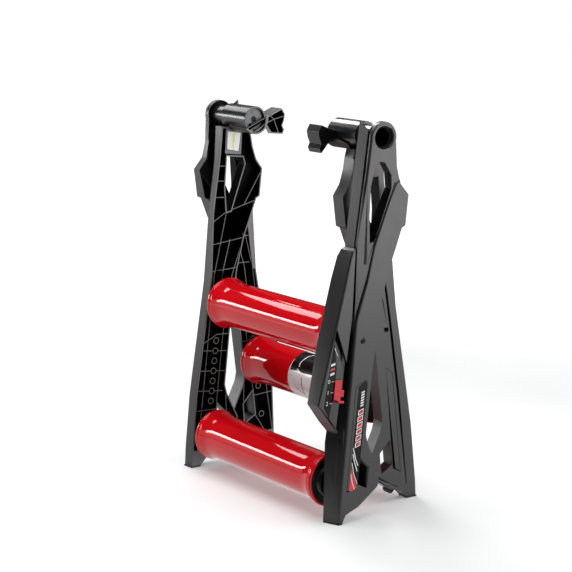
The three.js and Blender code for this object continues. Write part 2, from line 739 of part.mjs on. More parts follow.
function resistanceHousing() {
  const inside = wideRailInside + assemblyGap;
  const outside = wideRailOutside - assemblyGap;
  const floorFace = outside - unitFloorDepth;
  const floorBack = floorFace - unitFloorThickness;
  const hollowStart = inside + unitWall;
  const body = loftAcross(unitInnerShares.map(legSpot), inside, unitOuterShares.map(legSpot), outside);
  const { inner, outer } = wideOutlines();
  const ahead = new THREE.Vector2(-assemblyGap, 0);
  const railRoom = loftAcross(
    inner.map((point) => point.clone().add(ahead)),
    wideRailInside,
    outer.map((point) => point.clone().add(ahead)),
    wideRailOutside,
  );
  return body
    .subtract(railRoom)
    .subtract(wideStrip(assemblyGap))
    .subtract(plateAcross(unitWindowShares.map(legSpot), floorFace, outside + overrun))
    .subtract(plateAcross(unitSlotShares.map(legSpot), floorBack, floorFace))
    .subtract(plateAcross(unitHollowShares.map(legSpot), hollowStart, floorBack))
    .subtract(plateAcross(headSlotShares.map(legSpot), inside - overrun, hollowStart))
    .subtract(plateAcross(unitPocketShares.map(legSpot), inside - overrun, floorFace - pocketWall));
}

const scaleShares = [[0.529, 0.847], [0.686, 1.02], [0.72, 0.8], [0.593, 0.707]];
const scaleThickness = 0.8;
const sliderShares = [[0.62, 0.533], [0.62, 0.747], [0.676, 0.747], [0.676, 0.533]];
const sliderTabShares = [[0.646, 0.44], [0.646, 0.56], [0.664, 0.56], [0.664, 0.44]];
const sliderStemShares = [[0.646, 0.44], [0.646, 0.48], [0.664, 0.48], [0.664, 0.44]];
const sliderKnobShares = [[0.67, 0.547], [0.67, 0.72], [0.676, 0.72], [0.676, 0.547]];
const sliderThickness = 2.5;
const knobReach = 13;
const carrierBarShares = [[0.497, 0.427], [0.497, 0.64], [0.665, 0.64], [0.665, 0.427]];
const carrierHeadShares = [[0.497, 0.547], [0.497, 0.76], [0.544, 0.76], [0.544, 0.547]];
const carrierThickness = 5.5;
const magnetGap = 0.5;
const magnetRadius = 7;
const magnetThickness = 3;
const magnetShares = [[0.509, 0.653], [0.532, 0.653]];

function unitFloor() {
  return wideRailOutside - assemblyGap - unitFloorDepth;
}

function scalePanel() {
  const back = unitFloor() + assemblyGap;
  return plateAcross(scaleShares.map(legSpot), back, back + scaleThickness);
}

function carrierBarFace() {
  return unitFloor() - unitFloorThickness - assemblyGap;
}

function resistanceSlider() {
  const plateBack = unitFloor() + assemblyGap + scaleThickness + assemblyGap;
  const plateFace = plateBack + sliderThickness;
  const plate = plateAcross(sliderShares.map(legSpot), plateBack, plateFace);
  const tab = plateAcross(sliderTabShares.map(legSpot), plateBack, plateFace);
  const stem = plateAcross(sliderStemShares.map(legSpot), carrierBarFace() + assemblyGap, plateFace);
  const knob = plateAcross(sliderKnobShares.map(legSpot), plateBack, plateFace + knobReach);
  return union([plate, tab, stem, knob]);
}

// The magnets face the end of the upper drum, and lie just outside its pulley
function magnetFace() {
  return wideRailInside - drumWideGap - capRecess + pulleyWidth + magnetGap;
}

function magnetCarrier() {
  const face = carrierBarFace();
  const bar = plateAcross(carrierBarShares.map(legSpot), face - carrierThickness, face);
  const headFace = magnetFace() + magnetThickness + assemblyGap;
  return bar.add(plateAcross(carrierHeadShares.map(legSpot), headFace, face));
}

function magnet(index) {
  const face = magnetFace();
  return rodAcross(magnetRadius, face, face + magnetThickness, screwSides, legSpot(magnetShares[index]));
}

// Small parts

// A plate sunk in the long recess of a rail's outer face
const plateShrink = 0.5;
const plateBelowFace = 0.2;

function recessPlate(outside) {
  const outline = insetOutline(recessShares.map(legSpot), plateShrink);
  return plateAcross(outline, outside - recessDepth + assemblyGap, outside - plateBelowFace);
}

const labelShares = [[0.04, 0.3], [0.042, -0.17], [0.098, -0.15], [0.094, 0.27]];
const labelThickness = 0.8;

function labelPlate() {
  const face = narrowRailInside + labelWebSetback - assemblyGap;
  return plateAcross(labelShares.map(legSpot), face - labelThickness, face);
}

// The rubber pad under a rail's foot
function footPad(inside, outside, feet) {
  const outline = ([front, back]) => [
    floorSpot(front, 0),
    floorSpot(back, 0),
    floorSpot(back, footPadThickness - assemblyGap),
    floorSpot(front, footPadThickness - assemblyGap),
  ];
  return loftAcross(outline(feet.inner), inside, outline(feet.outer), outside);
}

// A half-round rubber stop on the slanting end edge of a narrow rail
const bumperRadius = 9;
const bumperInset = 6;
const bumperPlaceShare = 0.3;
const bumperArc = { start: 0, end: 180, steps: 8 };

function endBumper() {
  const start = legSpot(rearEdgeShares[1]);
  const end = legSpot(rearEdgeShares[0]);
  const along = end.clone().sub(start).normalize();
  const out = new THREE.Vector2(-along.y, along.x);
  const centre = start.clone().lerp(end, bumperPlaceShare).addScaledVector(out, assemblyGap);
  const outline = arcSpots(bumperRadius, bumperArc).map(({ x, y }) => {
    return centre.clone().addScaledVector(along, x).addScaledVector(out, y);
  });
  return plateAcross(outline, narrowRailInside + bumperInset, narrowRailOutside - bumperInset);
}

// Assembly. A half-frame is drawn with its wide rail towards +X; its narrow side is drawn there too
// and then mirrored to -X.
function wideSide(prefix) {
  const side = new THREE.Group();
  side.add(
    toMesh(`${prefix}_wide_rail`, wideRail(), satinBlack),
    toMesh(`${prefix}_wide_rail_panel`, recessPlate(wideRailOutside), deepBlack),
    toMesh(`${prefix}_wide_foot_pad`, footPad(wideRailInside, wideRailOutside, wideFootShares), rubber),
    toMesh(`${prefix}_pivot_tube`, pivotTube(), glossBlack),
    toMesh(`${prefix}_hinge_cap`, sleeveCap(), glossBlack),
    toMesh(`${prefix}_hinge_bolt`, hingeBolt(), steel),
  );
  return side;
}

function narrowSide(prefix) {
  const side = new THREE.Group();
  const narrowPad = footPad(narrowRailInside, narrowRailOutside, narrowFootShares);
  side.add(
    toMesh(`${prefix}_narrow_rail`, narrowRail(), satinBlack),
    toMesh(`${prefix}_narrow_rail_cover`, recessPlate(narrowRailOutside), satinBlack),
    toMesh(`${prefix}_narrow_foot_pad`, narrowPad, rubber),
    toMesh(`${prefix}_end_bumper`, endBumper(), rubber),
    toMesh(`${prefix}_hinge_sleeve`, hingeSleeve(), glossBlack),
    toMesh(`${prefix}_hinge_foot`, hingeFoot(), satinBlack),
  );
  side.scale.x = -1;
  return side;
}

function roller(prefix, ring, hasScrewHoles) {
  const whole = new THREE.Group();
  const narrowEnd = new THREE.Group();
  narrowEnd.add(
    toMesh(`${prefix}_cap_narrow_end`, drumCap(false), deepBlack),
    toMesh(`${prefix}_bearing_narrow_end`, bearing(), steel),
  );
  narrowEnd.scale.x = -1;
  whole.add(
    toMesh(`${prefix}_drum`, drum(), glossRed),
    toMesh(`${prefix}_cap_wide_end`, drumCap(true), deepBlack),
    toMesh(`${prefix}_bearing_wide_end`, bearing(), steel),
    toMesh(`${prefix}_axle`, axle(hasScrewHoles), steel),
    narrowEnd,
  );
  const spot = ringSpot(ring);
  whole.position.set(rollerMiddle, spot.x, spot.y);
  return whole;
}

function leg(...pieces) {
  const frame = new THREE.Group();
  frame.add(...pieces);
  frame.position.z = hingeHeight;
  frame.rotation.x = -legAngle;
  return frame;
}

const frontWide = wideSide("front");
const frontNarrow = narrowSide("front");
frontWide.add(
  toMesh("upper_roller_screw_wide_end", axleScrew(wideRailInside, wideRailOutside), steel),
  toMesh("resistance_housing", resistanceHousing(), satinBlack),
  toMesh("resistance_scale", scalePanel(), deepBlack),
  toMesh("resistance_slider", resistanceSlider(), glossRed),
  toMesh("magnet_carrier", magnetCarrier(), deepBlack),
  toMesh("magnet_upper", magnet(0), steel),
  toMesh("magnet_lower", magnet(1), steel),
);
frontNarrow.add(
  toMesh("upper_roller_screw_narrow_end", axleScrew(narrowRailInside, narrowRailOutside), steel),
  toMesh("label_plate", labelPlate(), silver),
);

const rearFrame = new THREE.Group();
rearFrame.add(leg(wideSide("rear"), narrowSide("rear"), roller("middle_roller", middleRing, false)));
rearFrame.rotation.z = Math.PI;

const bikeRollers = new THREE.Group();
bikeRollers.name = "bike_rollers";
bikeRollers.add(
  leg(
    frontWide,
    frontNarrow,
    roller("upper_roller", upperRing, true),
    roller("lower_roller", lowerRing, false),
  ),
  rearFrame,
);

// The origin lies on the floor below the middle of the whole
const middle = new THREE.Box3().setFromObject(bikeRollers, true).getCenter(new THREE.Vector3());
for (const half of bikeRollers.children) {
  half.position.x -= middle.x;
  half.position.y -= middle.y;
}

export default bikeRollers;
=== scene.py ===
"""Folding bike rollers, standing folded as a narrow A: the finish of every surface."""

import json
import math

import bmesh
import bpy
from mathutils import Matrix, Vector
from mathutils.bvhtree import BVHTree


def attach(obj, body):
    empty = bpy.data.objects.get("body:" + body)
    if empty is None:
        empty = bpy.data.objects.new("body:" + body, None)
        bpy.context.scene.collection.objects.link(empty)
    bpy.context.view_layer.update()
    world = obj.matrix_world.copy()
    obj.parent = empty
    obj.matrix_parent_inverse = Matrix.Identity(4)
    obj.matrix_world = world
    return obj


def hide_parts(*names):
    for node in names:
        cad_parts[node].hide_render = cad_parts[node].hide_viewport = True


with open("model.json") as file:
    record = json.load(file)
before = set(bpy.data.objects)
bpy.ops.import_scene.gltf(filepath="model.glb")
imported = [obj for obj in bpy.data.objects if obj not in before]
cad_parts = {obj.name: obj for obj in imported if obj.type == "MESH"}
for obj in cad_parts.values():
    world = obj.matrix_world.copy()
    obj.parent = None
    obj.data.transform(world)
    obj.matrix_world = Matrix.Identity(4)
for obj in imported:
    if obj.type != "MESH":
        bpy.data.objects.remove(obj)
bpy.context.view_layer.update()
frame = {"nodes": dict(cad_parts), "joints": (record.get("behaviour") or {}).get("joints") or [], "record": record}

# Rails: four ribbed mouldings in glass-filled nylon, two wide and two narrow. The outer faces have the
# fine even grain of the tool and a satin sheen; the cells behind are painted near black as painted shade,
# and the edges of their ribs are painted pale grey as a painted highlight. Every edge is rounded, the long
# outer front one most.
MM = 0.001
record = frame["record"]
joints = {joint["name"]: joint for joint in frame["joints"]}
HINGE = Vector(joints["fold"]["pos_m"])
LEG_ANGLE = math.radians(7)
BODY_OF = {node: body for body, nodes in record["behaviour"]["bodies"].items() for node in nodes}
MERGE_DISTANCE = 0.002 * MM
FLAT_ANGLE = math.radians(0.6)
EDGE_ANGLE = math.radians(20)
SMOOTH_ANGLE = math.radians(38)
FACING = 0.9
RAIL_EDGE = 0.45 * MM
FRONT_EDGE = 4.5 * MM
CELL_DEPTH = 3 * MM
CELL_REACH = {"wide": 32 * MM, "narrow": 25 * MM}
FRONT_FACING = 0.5
FRONT_STEPS = 6
RAIL_GRAIN = 0.9 * MM
COLOUR_A, COLOUR_B, COLOUR_OUT = 6, 7, 2
# Painted shade: where ambient occlusion finds other surfaces within this reach, the colour goes towards near black
# and the mirroring drops.
PAINTED_SHADE_SAMPLES = 6
PAINTED_SHADE_SHARES = (0.25, 0.75)
PAINTED_SHADE_COLOUR = "020202"
PAINTED_SHADE_REACH = 28 * MM
FULL_SPECULAR = 0.5
PATCH_SHARES = (0.35, 0.65)
SHEEN_SHARES = (0.3, 0.7)
WALL_START = 0.05 * MM
PAINTED_SHADE, RIB_HIGHLIGHT = 1, 2
GRIP_DOWN = (60, 215)
GRIP_FORWARD = 24


def linear(hex_colour):
    """An sRGB colour such as 7f7f7f as linear red, green, blue and alpha."""
    shares = [int(hex_colour[i : i + 2], 16) / 255 for i in (0, 2, 4)]
    bent = [s / 12.92 if s <= 0.04045 else ((s + 0.055) / 1.055) ** 2.4 for s in shares]
    return (*bent, 1.0)


def add(material, kind, values=None, links=None, **settings):
    """Adds a node to a material: its settings, its sockets' values and what feeds its sockets."""
    node = material.node_tree.nodes.new(kind)
    for name, value in settings.items():
        setattr(node, name, value)
    for socket, value in (values or {}).items():
        node.inputs[socket].default_value = value
    for socket, source in (links or {}).items():
        material.node_tree.links.new(source, node.inputs[socket])
    return node


def finish(name, dark, pale, patch, rough, grain, relief, stretch=(1, 1, 1), painted_shade_reach=None, **values):
    """A surface whose colour and sheen vary a little from patch to patch, over a fine grain.

    The patches and the grains are that far apart, and the stretch draws them out along an axis.
    Where a painted shade reach is given, shade is painted into the surface: it is darker and mirrors less where
    ambient occlusion finds other surfaces close by, in crevices, recesses and between parts.
    """
    material = bpy.data.materials.new(name)
    material.use_nodes = True
    shader = material.node_tree.nodes["Principled BSDF"]
    for socket, value in values.items():
        shader.inputs[socket.replace("_", " ")].default_value = value
    place = add(material, "ShaderNodeTexCoord")
    drawn = add(material, "ShaderNodeMapping", {"Scale": stretch}, {"Vector": place.outputs["Object"]})
    vector = {"Vector": drawn.outputs["Vector"]}
    patches = add(material, "ShaderNodeTexNoise", {"Scale": 1 / patch, "Detail": 4.0}, vector)
    grains = add(material, "ShaderNodeTexNoise", {"Scale": 1 / grain, "Detail": 2.0}, vector)
    share = add(
        material, "ShaderNodeMapRange", {"From Min": PATCH_SHARES[0], "From Max": PATCH_SHARES[1]},
        {"Value": patches.outputs["Fac"]},
    )
    colour = add(
        material, "ShaderNodeMix", {COLOUR_A: linear(dark), COLOUR_B: linear(pale)},
        {0: share.outputs["Result"]}, data_type="RGBA",
    )
    sheen = add(
        material, "ShaderNodeMapRange",
        {
            "From Min": SHEEN_SHARES[0], "From Max": SHEEN_SHARES[1],
            "To Min": rough[0], "To Max": rough[1],
        },
        {"Value": patches.outputs["Fac"]},
    )
    bump = add(
        material, "ShaderNodeBump", {"Strength": 1.0, "Distance": relief},
        {"Height": grains.outputs["Fac"]},
    )
    links = material.node_tree.links
    tint = colour.outputs[COLOUR_OUT]
    # Painted shade: in crevices, recesses and between parts, the colour is mixed towards near black and the
    # mirroring is lowered.
    if painted_shade_reach:
        open_share = add(
            material, "ShaderNodeAmbientOcclusion", {"Distance": painted_shade_reach}, samples=PAINTED_SHADE_SAMPLES
        )
        shade = add(
            material, "ShaderNodeMapRange",
            {"From Min": PAINTED_SHADE_SHARES[0], "From Max": PAINTED_SHADE_SHARES[1]},
            {"Value": open_share.outputs["AO"]},
        )
        shaded = add(
            material, "ShaderNodeMix", {COLOUR_A: linear(PAINTED_SHADE_COLOUR)},
            {0: shade.outputs["Result"], COLOUR_B: tint}, data_type="RGBA",
        )
        tint = shaded.outputs[COLOUR_OUT]
        level = add(
            material, "ShaderNodeMapRange",
            {"From Min": PAINTED_SHADE_SHARES[0], "From Max": PAINTED_SHADE_SHARES[1], "To Max": FULL_SPECULAR},
            {"Value": open_share.outputs["AO"]},
        )
        links.new(level.outputs["Result"], shader.inputs["Specular IOR Level"])
    links.new(tint, shader.inputs["Base Color"])
    links.new(sheen.outputs["Result"], shader.inputs["Roughness"])
    links.new(bump.outputs["Normal"], shader.inputs["Normal"])
    return material


# The rail nylon has shade painted into its crevices, its recesses and the gaps between parts.
satin_nylon = finish(
    "satin_nylon", "1b1b1c", "212122", 60 * MM, (0.36, 0.43), RAIL_GRAIN, 0.01 * MM, painted_shade_reach=PAINTED_SHADE_REACH,
    IOR=1.62,
)
# Painted shade: a near-black copy of the rail nylon for faces that lie in shade, such as cells, walls facing other
# walls and bores.
painted_shade_nylon = finish(
    "painted_shade_nylon", "030303", "060607", 40 * MM, (0.6, 0.7), RAIL_GRAIN, 0.01 * MM, Specular_IOR_Level=0.15
)
# Painted highlight: a pale grey copy of the rail nylon on the ribs' edges, standing in for the light their rounded
# edges catch.
rib_highlight_nylon = finish(
    "rib_edge_painted_highlight_nylon", "68696b", "77787a", 25 * MM, (0.36, 0.44), RAIL_GRAIN, 0.01 * MM, IOR=1.53
)


def joined_copy(node):
    """A CAD node's mesh as a bmesh, its split corners joined and its flat faces whole again."""
    shape = bmesh.new()
    shape.from_mesh(frame["nodes"][node].data)
    for face in shape.faces:
        face.material_index = 0
    bmesh.ops.remove_doubles(shape, verts=shape.verts, dist=MERGE_DISTANCE)
    bmesh.ops.dissolve_limit(shape, angle_limit=FLAT_ANGLE, verts=shape.verts, edges=shape.edges)
    return shape


def is_edge(edge):
    """Whether an edge is sharp enough to be rounded."""
    return edge.is_manifold and edge.calc_face_angle(0) > EDGE_ANGLE


def round_edges(shape, width, steps, edges=None):
    """Rounds the sharp edges of a bmesh, or those that are given."""
    bmesh.ops.bevel(
        shape,
        geom=edges if edges is not None else [edge for edge in shape.edges if is_edge(edge)],
        offset=width,
        offset_type="OFFSET",
        segments=steps,
        profile=0.5,
        affect="EDGES",
        clamp_overlap=False,
        loop_slide=True,
    )


def smooth_piece(name, shape, *materials):
    """An object from a bmesh, shaded smooth except across its sharp edges."""
    for face in shape.faces:
        face.smooth = True
    for edge in shape.edges:
        edge.smooth = not edge.is_manifold or edge.calc_face_angle(0) < SMOOTH_ANGLE
    mesh = bpy.data.meshes.new(name)
    shape.to_mesh(mesh)
    shape.free()
    for material in materials:
        mesh.materials.append(material)
    piece = bpy.data.objects.new(name, mesh)
    bpy.context.scene.collection.objects.link(piece)
    flat_first = piece.modifiers.new("flat_faces_first", "WEIGHTED_NORMAL")
    flat_first.keep_sharp = True
    return piece


def dress(piece, node):
    """Puts a finished piece in the place of a CAD node, on the same body."""
    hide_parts(node)
    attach(piece, BODY_OF[node])


def rounded(node, width, steps, *materials):
    """The CAD node's own form with rounded edges."""
    shape = joined_copy(node)
    round_edges(shape, width, steps)
    dress(smooth_piece(f"{node}_piece", shape, *materials), node)


def leg_place(side, point):
    """How far down a leg and forward from the hinge line a point is, in mm."""
    turn = 1 if side == "front" else -1
    sin, cos = math.sin(LEG_ANGLE), math.cos(LEG_ANGLE)
    y, z = (point.y - HINGE.y) * turn / MM, (point.z - HINGE.z) / MM
    return -y * sin - z * cos, -y * cos + z * sin


def is_grip_wall(face, side):
    """Whether a face is in the wall of the drop-shaped opening, which gets painted shade."""
    down, forward = leg_place(side, face.calc_center_median())
    is_beside = GRIP_DOWN[0] < down < GRIP_DOWN[1] and abs(forward) < GRIP_FORWARD
    return abs(face.normal.x) < FACING and is_beside


def rail(node):
    """A rail: faces in the cells get painted shade and those on the ribs' edges a painted highlight, each its own
    material, then edges are rounded.
    A wall that looks out on no other wall of the rail is on its outline and keeps the outer material; the others
    get the painted shade.

    A wall that looks out on no other wall of the rail is on its outline and keeps the outer material.
    A point that the rounding pushes past the outer face's plane is put back on it.
    """
    shape = joined_copy(node)
    reach = [abs(vertex.co.x) for vertex in shape.verts]
    inside, outside = min(reach), max(reach)
    outward = math.copysign(1, next(iter(shape.verts)).co.x)
    cell_reach = CELL_REACH[node.split("_")[1]]
    walls = BVHTree.FromBMesh(shape)
    for face in shape.faces:
        depth = max(abs(vertex.co.x) for vertex in face.verts) - inside
        across = face.normal.x * outward
        # Faces deep in the cells get painted shade and rib tops a painted highlight; walls that face another wall
        # get painted shade.
        if across < -FACING:
            face.material_index = RIB_HIGHLIGHT if depth < CELL_DEPTH else PAINTED_SHADE
        elif across < FACING and depth < cell_reach or is_grip_wall(face, node.split("_")[0]):
            way = Vector((0, face.normal.y, face.normal.z))
            met = walls.ray_cast(face.calc_center_median() + way * WALL_START, way)[0]
            face.material_index = PAINTED_SHADE if met else 0
    ahead = -1 if node.startswith("front") else 1
    front_edges = []
    for edge in shape.edges:
        if not is_edge(edge) or min(abs(vertex.co.x) for vertex in edge.verts) < inside + cell_reach:
            continue
        outer, side = sorted(edge.link_faces, key=lambda face: -face.normal.x * outward)
        if outer.normal.x * outward > FACING and side.normal.y * ahead > FRONT_FACING:
            front_edges.append(edge)
    round_edges(shape, FRONT_EDGE, FRONT_STEPS, front_edges)
    round_edges(shape, RAIL_EDGE, 2)
    for vertex in shape.verts:
        if abs(vertex.co.x) > outside:
            vertex.co.x = outward * outside
    dress(smooth_piece(f"{node}_moulding", shape, satin_nylon, painted_shade_nylon, rib_highlight_nylon), node)


for side in ("front", "rear"):
    rail(f"{side}_wide_rail")
    rail(f"{side}_narrow_rail")

# Skin of the arms: where the upper arm of a wide rail runs under its diagonal bar, its outer face sinks
# and rolls over at the front. The rows give the place down the leg and the front and back edges there.
# The skin closes a gap that the CAD rail has there. It is moulded with the rail, in the same nylon.
ARM_ROWS = [
    (238, 32.3, 0.0), (262, 29.9, 3.4), (285, 27.7, 8.5), (305, 25.8, 12.9), (325, 23.9, 17.4),
    (342, 22.4, 20.5),
]
ARM_ROLL = [(-0.6, 7.0), (-0.3, 4.2), (0.9, 2.0), (2.4, 0.7), (4.4, 0.1)]
LEG_LENGTH = 737.5
ARM_DROP = 6 / (0.48 * LEG_LENGTH)
ARM_START = 0.05 * LEG_LENGTH
ARM_LIFT = 0.1
ARM_WALL = 2.4
ARM_HEM = 1.6


def leg_spot(side, down, forward, across):
    """A place on a leg, in mm down it and forward from the hinge line, and in m along X."""
    turn = 1 if side == "front" else -1
    sin, cos = math.sin(LEG_ANGLE), math.cos(LEG_ANGLE)
    y = -turn * (down * sin + forward * cos) * MM
    z = (forward * sin - down * cos) * MM
    return Vector((across, HINGE.y + y, HINGE.z + z))


def outer_face(side):
    """The place along X of the outer face of a frame's wide rail."""
    facing = 1 if side == "front" else -1
    corners = frame["nodes"][f"{side}_wide_rail"].data.vertices
    return facing * max(abs(vertex.co.x) for vertex in corners)


for side, facing in (("front", 1), ("rear", -1)):
    shape = bmesh.new()
    loops = []
    for down, front, back in ARM_ROWS:
        face_place = outer_face(side) - facing * (ARM_DROP * (down - ARM_START) - ARM_LIFT) * MM
        line = [(front - step, depth) for step, depth in ARM_ROLL] + [(back, 0.0)]
        line += [
            (back, ARM_WALL), (front - ARM_ROLL[-1][0], ARM_WALL), (front - ARM_HEM, ARM_ROLL[0][1]),
        ]
        loops.append(
            [
                shape.verts.new(leg_spot(side, down, forward, face_place - facing * depth * MM))
                for forward, depth in line
            ]
        )
    for loop, other in zip(loops, loops[1:]):
        for i in range(len(loop)):
            j = (i + 1) % len(loop)
            shape.faces.new((loop[i], loop[j], other[j], other[i]))
    shape.faces.new(loops[0])
    shape.faces.new(loops[-1])
    bmesh.ops.recalc_face_normals(shape, faces=shape.faces)
    piece = smooth_piece(f"{side}_wide_rail_arm_skin", shape, satin_nylon)
    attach(piece, f"{side}_frame")

# Plates in the long recesses of the rails. The narrow rails have a plain cover; the wide ones have a
# glossy film with slanted bars in white and red and a red end, here a plain pattern without lettering.
# Each print lies one film's thickness above the one before.
FILM = 0.02 * MM
LINE_STEPS = 8
PANEL_EDGE = 0.3 * MM
FILM_OUTLINE = [
    (471, 1.3), (457, -14.2), (464, -20.3), (658, -20.4), (669, -16.6), (675, -5.2), (673, -0.4),
]
BAR_COUNT = 6
SMALL_BARS = {"start": 478, "length": 31, "front": -7.5, "back": -14.8, "fill": 0.6, "lean": 3.0}
LARGE_BARS = {"start": 512, "length": 75, "front": -4.0, "back": -16.5, "fill": 0.8, "lean": 5.0}
RED_BARS = {"start": 514, "length": 75, "front": -5.6, "back": -15.2, "fill": 0.56, "lean": 4.0}
CURVES = [[(589, -0.8), (610, -8.5), (624, -16.2)], [(601, -1.2), (618, -7.4), (635, -15.8)]]
RED_END = [(612, -0.6), (629, -1.1), (666, -18.6), (671, -12), (674, -5.2), (672, -0.6)]
END_LINES = [[(618, -1.0), (640, -8.0), (660, -18.8)], [(640, -1.0), (656, -6.0), (670, -13.0)]]
CURVE_WIDTH = 2.0
END_LINE_WIDTH = 1.4
WHITE, RED, RECESS = 1, 2, 3

film_black = finish(
    "film_black", "050506", "09090a", 50 * MM, (0.3, 0.38), 1.5 * MM, 0.002 * MM, Specular_IOR_Level=0.2
)
film_white = finish(
    "film_white", "dededd", "e8e8e7", 30 * MM, (0.25, 0.32), 1.5 * MM, 0.004 * MM, Coat_Weight=0.4
)
film_red = finish(
    "film_red", "c21a22", "cc2129", 30 * MM, (0.25, 0.32), 1.5 * MM, 0.004 * MM, Coat_Weight=0.4
)


def add_plate(shape, side, outline, start, end, material=0):
    """Adds a flat plate to a bmesh, from its outline on a leg and its two places along X."""
    near = [shape.verts.new(leg_spot(side, down, forward, start)) for down, forward in outline]
    far = [shape.verts.new(leg_spot(side, down, forward, end)) for down, forward in outline]
    faces = [shape.faces.new(near), shape.faces.new(far)]
    for i, vertex in enumerate(near):
        j = (i + 1) % len(near)
        faces.append(shape.faces.new((vertex, near[j], far[j], far[i])))
    for face in faces:
        face.material_index = material
    bmesh.ops.recalc_face_normals(shape, faces=faces)


def stroke(points, width):
    """The outline of a line of that width along some points."""
    left, right = [], []
    for i, point in enumerate(points):
        ahead = Vector(points[min(i + 1, len(points) - 1)]) - Vector(points[max(i - 1, 0)])
        aside = Vector((-ahead.y, ahead.x)).normalized() * width / 2
        left.append(Vector(point) + aside)
        right.append(Vector(point) - aside)
    return [tuple(point) for point in left + right[::-1]]


def smooth_line(points):
    """The points of a smooth line through some points."""
    line = []
    ends = [points[0], *points, points[-1]]
    for before, start, end, after in zip(ends, ends[1:], ends[2:], ends[3:]):
        for step in range(LINE_STEPS):
            t = step / LINE_STEPS
            pull = start * 2 + (end - before) * t + (2 * before - 5 * start + 4 * end - after) * t**2
            line.append((pull + (3 * start - before - 3 * end + after) * t**3) / 2)
    return line + [points[-1]]


def slanted_bars(start, length, front, back, fill, lean):
    """Outlines of slanted bars one after the other down a leg."""
    pitch = length / BAR_COUNT
    outlines = []
    for i in range(BAR_COUNT):
        top = start + i * pitch
        end = top + fill * pitch
        outlines.append([(top, back), (end, back), (end + lean, front), (top + lean, front)])
    return outlines


white_bars = slanted_bars(**SMALL_BARS) + slanted_bars(**LARGE_BARS)
PRINTS = [
    (WHITE, white_bars + [stroke(curve, CURVE_WIDTH) for curve in CURVES]),
    (RED, slanted_bars(**RED_BARS) + [RED_END]),
    (WHITE, [stroke(line, END_LINE_WIDTH) for line in END_LINES]),
]

for side, facing in (("front", 1), ("rear", -1)):
    node = f"{side}_wide_rail_panel"
    shape = joined_copy(node)
    rail_face = outer_face(side)
    panel_face = facing * max(abs(vertex.co.x) for vertex in shape.verts)
    for vertex in shape.verts:
        if abs(vertex.co.x - panel_face) < MERGE_DISTANCE:
            vertex.co.x = rail_face
    for face in shape.faces:
        face.material_index = RECESS
    round_edges(shape, PANEL_EDGE, 2)
    add_plate(shape, side, FILM_OUTLINE, rail_face - facing * FILM, rail_face + facing * FILM)
    for layer, (material, outlines) in enumerate(PRINTS, 2):
        for outline in outlines:
            add_plate(shape, side, outline, rail_face, rail_face + facing * layer * FILM, material)
    dress(smooth_piece(f"{node}_film", shape, film_black, film_white, film_red, satin_nylon), node)
    rounded(f"{side}_narrow_rail_cover", PANEL_EDGE, 2, satin_nylon)

# Label plate under the front frame's hinge sleeve: brushed foil with a dark rounded border and one
# pale yellow field, otherwise bare.
LABEL_BORDER = [(30.5, 21.5), (32.0, -12.0), (71.5, -10.6), (68.5, 19.4)]
LABEL_FIELD = [(33.0, 9.5), (33.5, 1.0), (69.0, 1.0), (68.0, 8.6)]
LABEL_LINE = 1.1

label_foil = finish(
    "label_foil", "b4b6b8", "cdcfd0", 12 * MM, (0.34, 0.46), 0.6 * MM, 0.004 * MM, (1, 1, 0.08),
    Metallic=0.35,
)
label_yellow = finish("label_yellow", "eeeeb0", "f6f6c4", 12 * MM, (0.4, 0.5), 0.8 * MM, 0.004 * MM)

shape = joined_copy("label_plate")
label_face = max(vertex.co.x for vertex in shape.verts)
round_edges(shape, PANEL_EDGE, 2)
ring = LABEL_BORDER + LABEL_BORDER[:1]
for start, end in zip(ring, ring[1:]):
    add_plate(shape, "front", stroke([start, end], LABEL_LINE), label_face, label_face + FILM, 1)
add_plate(shape, "front", LABEL_FIELD, label_face, label_face + FILM, 2)
dress(smooth_piece("label_plate_foil", shape, label_foil, film_black, label_yellow), "label_plate")

# Hinge: on each side a smooth black sleeve that turns round the pivot tube of the other half-frame, a
# disc-shaped cap with a hole and two pads in its open end, held by a blackened bolt, and a ribbed foot.
TUBE_SIDES = 96
SLEEVE_RADIUS = 26.5 * MM
SLEEVE_SEAT = 22.5 * MM
SLEEVE_BORE = 20.8 * MM
CAP_SEAT_DEPTH = 10 * MM
LIP = 0.5 * MM
PIVOT_RADIUS = 20.5 * MM
PIVOT_BORE = 17.5 * MM
BOLT_ROOM = 4.3 * MM
TUBE_END_WALL = 8 * MM
FOOT_EDGE = 0.4 * MM
FOOT_PAINTED_SHADE_FACING = 0.6
FOOT_MOUTH = 6 * MM
CAP_EDGE = 0.25 * MM
BOLT_EDGE = 0.2 * MM

# Painted shade: the feet get a darker copy of the rail nylon, for the shade of the rails beside them, with shade
# also painted into their crevices.
foot_shaded_nylon = finish(
    "foot_shaded_nylon", "0d0d0e", "121213", 40 * MM, (0.3, 0.36), RAIL_GRAIN, 0.01 * MM, painted_shade_reach=PAINTED_SHADE_REACH
)
gloss_nylon = finish(
    "gloss_nylon", "161718", "1c1d1f", 40 * MM, (0.22, 0.28), 0.9 * MM, 0.0015 * MM, (0.1, 1, 1), IOR=1.6
)
cap_nylon = finish(
    "cap_nylon", "606163", "6c6d6f", 20 * MM, (0.34, 0.42), 0.8 * MM, 0.01 * MM, IOR=1.55
)
black_steel = finish(
    "blackened_steel", "08080a", "111113", 4 * MM, (0.35, 0.5), 0.4 * MM, 0.006 * MM, Metallic=0.6
)


